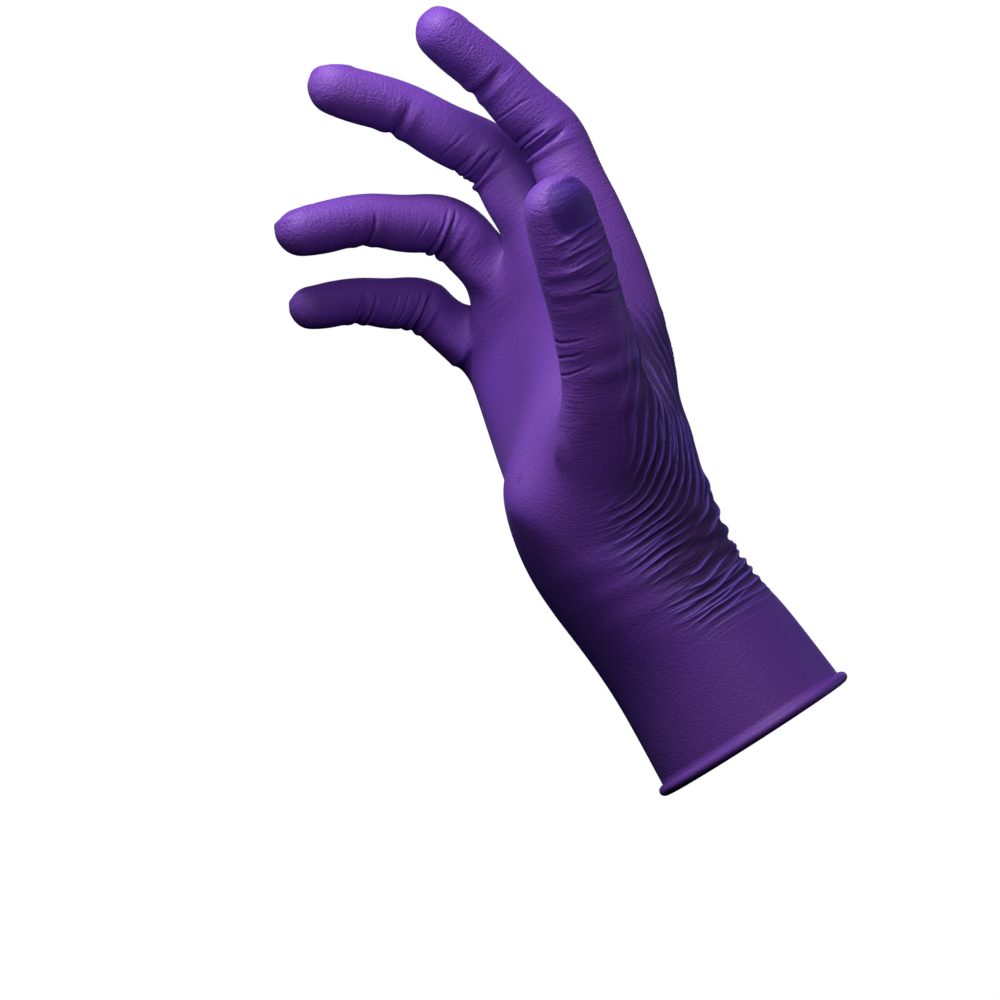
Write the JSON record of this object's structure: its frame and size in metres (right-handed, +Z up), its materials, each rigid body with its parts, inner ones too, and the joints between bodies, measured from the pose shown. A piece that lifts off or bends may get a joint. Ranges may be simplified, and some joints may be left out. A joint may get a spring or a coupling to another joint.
{
  "type": "nitrile exam glove",
  "caption": "Thin satin violet exam glove for a right hand, kept in its worn shape with half-curled fingers, folds at the joints and wrist, and a cuff open at a rolled bead.",
  "frame": {"origin": "middle of the cuff's open end, where a forearm goes in", "axes": "+Z runs up the forearm to the fingers, +X is the thumb's side and +Y is the back of the hand"},
  "size_m": [0.1183, 0.0753, 0.2268],
  "materials": {
    "nitrile": "satin deep violet film with a fine leathery grain"
  },
  "bodies": {
    "root": {"glove": "nitrile"}
  },
  "joints": []
}
